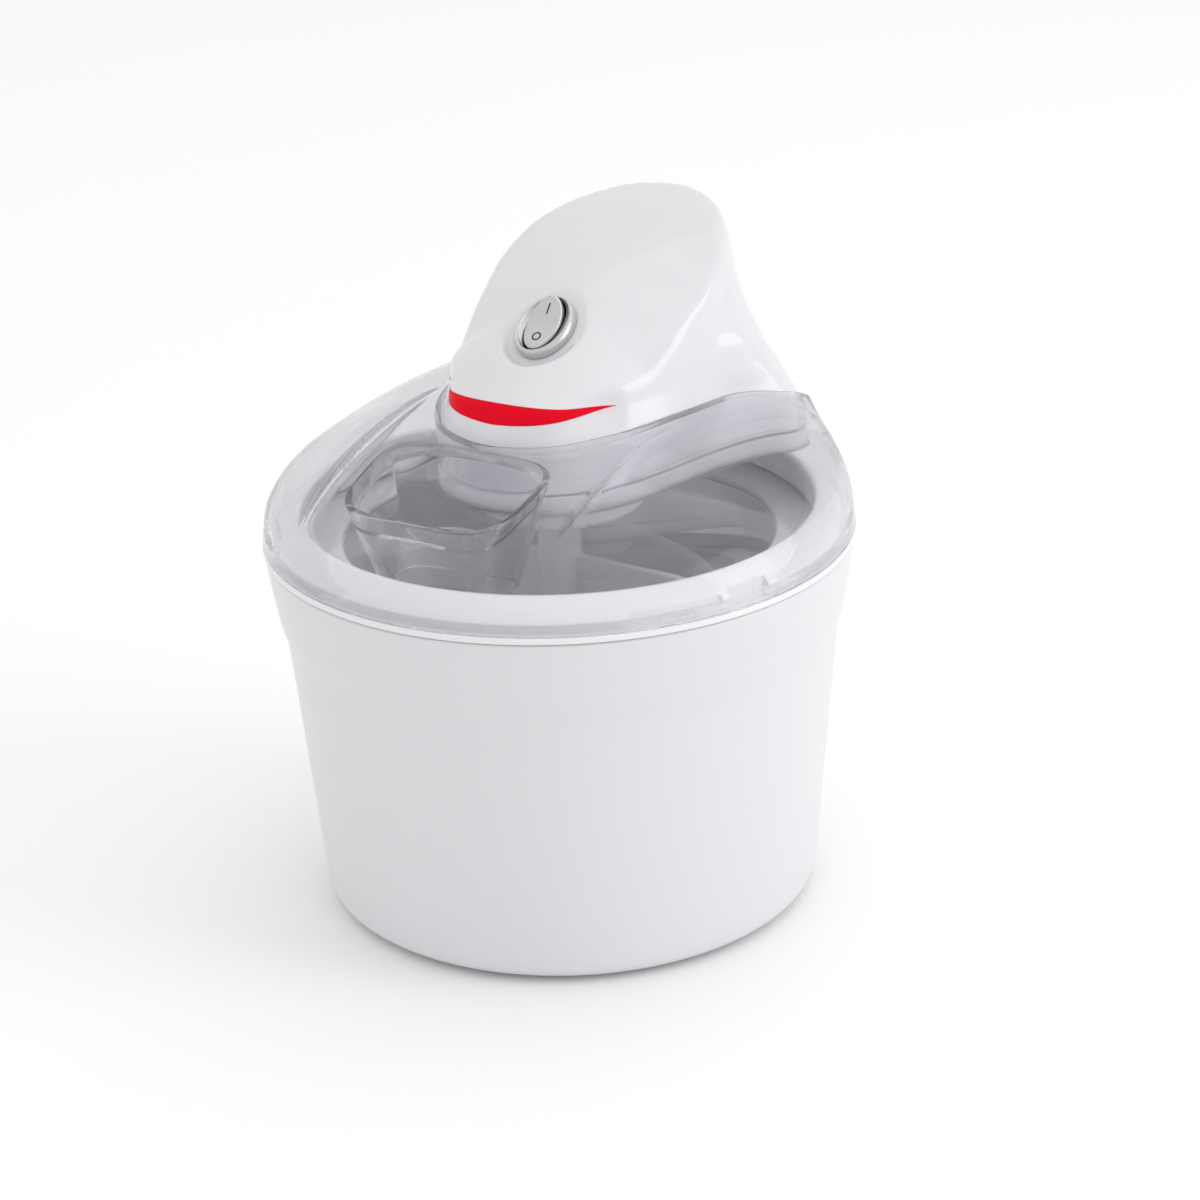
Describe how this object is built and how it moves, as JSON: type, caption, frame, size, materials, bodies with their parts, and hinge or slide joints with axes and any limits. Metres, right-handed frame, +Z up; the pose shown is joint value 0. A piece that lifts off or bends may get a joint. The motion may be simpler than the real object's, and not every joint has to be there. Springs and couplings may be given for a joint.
{
  "type": "ice cream maker",
  "caption": "Countertop freezer-bowl ice cream maker with a white tub, clear domed lid with a feed chute, and a lift-off motor unit on top that turns a paddle.",
  "frame": {"origin": "centre of the footprint, on the table under the four feet; the bowl's and the paddle's axis rises from it", "axes": "+Z up; the feed chute and the motor unit's nose face -Y; +X is to the right seen from the front; the outside is symmetric about x = 0"},
  "size_m": [0.22, 0.22, 0.2517],
  "materials": {
    "housing_white": "glossy white moulding",
    "foot_rubber": "matt rubber",
    "bowl_aluminium": "satin, drawn",
    "bowl_white": "semi-gloss white moulding",
    "gel": "frozen gel, sealed in",
    "ring_white": "glossy white moulding",
    "lid_clear": "clear polished moulding",
    "bushing_acetal": "smooth acetal",
    "paddle_white": "semi-gloss white moulding",
    "cover_white": "glossy white moulding",
    "base_white": "semi-gloss white moulding",
    "trim_red": "satin red inlay",
    "switch_silver": "satin silver lacquer on plastic",
    "switch_black": "black moulding",
    "gear_acetal": "smooth acetal",
    "steel": "plain steel",
    "brass": "sintered bush, machined pinion",
    "copper_winding": "enamelled copper winding",
    "ferrite": "dark ferrite",
    "terminal_grey": "grey moulding",
    "gland_rubber": "pale grey rubber"
  },
  "bodies": {
    "housing": {"outer_housing": "housing_white", "foot_1": "foot_rubber", "foot_2": "foot_rubber", "foot_3": "foot_rubber", "foot_4": "foot_rubber"},
    "freezer_bowl": {"bowl_inner": "bowl_aluminium", "coolant_gel": "gel", "bowl_outer": "bowl_white", "bowl_rim": "bowl_white"},
    "ring": {"rim_ring": "ring_white"},
    "lid": {"lid": "lid_clear", "lid_bushing": "bushing_acetal"},
    "paddle": {"paddle": "paddle_white"},
    "motor_unit": {"motor_cover": "cover_white", "motor_base": "base_white", "output_bushing": "brass", "case_screw_1": "steel", "case_screw_2": "steel", "case_screw_3": "steel", "case_screw_4": "steel", "plate_screw_1": "steel", "plate_screw_2": "steel", "plate_screw_3": "steel", "red_trim": "trim_red", "switch_bezel": "switch_silver", "switch_body": "switch_black", "gear_plate": "steel", "stator_core": "steel", "stator_coil": "copper_winding", "rotor_bracket": "steel", "terminal_block": "terminal_grey", "cord_inlet": "gland_rubber", "idler_axle": "steel"},
    "rocker": {"rocker": "switch_silver"},
    "output": {"output_gear": "gear_acetal", "drive_shaft": "steel"},
    "idler": {"idler_gear": "gear_acetal"},
    "rotor": {"motor_pinion": "brass", "rotor_magnet": "ferrite", "rotor_shaft": "steel"}
  },
  "joints": [
    {"name": "bowl_lift", "type": "slide", "parent": "housing", "child": "freezer_bowl", "axis": [0, 0, 1], "range_m": [0, 0.14]},
    {"name": "ring_lift", "type": "slide", "parent": "freezer_bowl", "child": "ring", "axis": [0, 0, 1], "range_m": [0, 0.14]},
    {"name": "lid_turn", "type": "hinge", "parent": "ring", "child": "lid", "pos_m": [0, 0, 0.144], "axis": [0, 0, 1], "range_deg": [0, 16]},
    {"name": "paddle_spin", "type": "hinge", "parent": "lid", "child": "paddle", "pos_m": [0, 0, 0.16], "axis": [0, 0, 1], "continuous": true},
    {"name": "motor_lift", "type": "slide", "parent": "lid", "child": "motor_unit", "axis": [0, 0, 1], "range_m": [0, 0.1]},
    {"name": "rocker_tilt", "type": "hinge", "parent": "motor_unit", "child": "rocker", "pos_m": [0, -0.0045, 0.22172], "axis": [1, 0, 0], "range_deg": [-14, 0]},
    {"name": "output_spin", "type": "hinge", "parent": "motor_unit", "child": "output", "pos_m": [0, 0, 0.175], "axis": [0, 0, 1], "continuous": true},
    {"name": "idler_spin", "type": "hinge", "parent": "motor_unit", "child": "idler", "pos_m": [0, 0.024, 0.18], "axis": [0, 0, 1], "continuous": true},
    {"name": "rotor_spin", "type": "hinge", "parent": "motor_unit", "child": "rotor", "pos_m": [0, 0.047, 0.19], "axis": [0, 0, 1], "continuous": true}
  ],
  "couplings": [
    {"joint": "output_spin", "follows": "paddle_spin", "ratio": 1},
    {"joint": "idler_spin", "follows": "paddle_spin", "ratio": -3},
    {"joint": "rotor_spin", "follows": "paddle_spin", "ratio": 10.8}
  ]
}
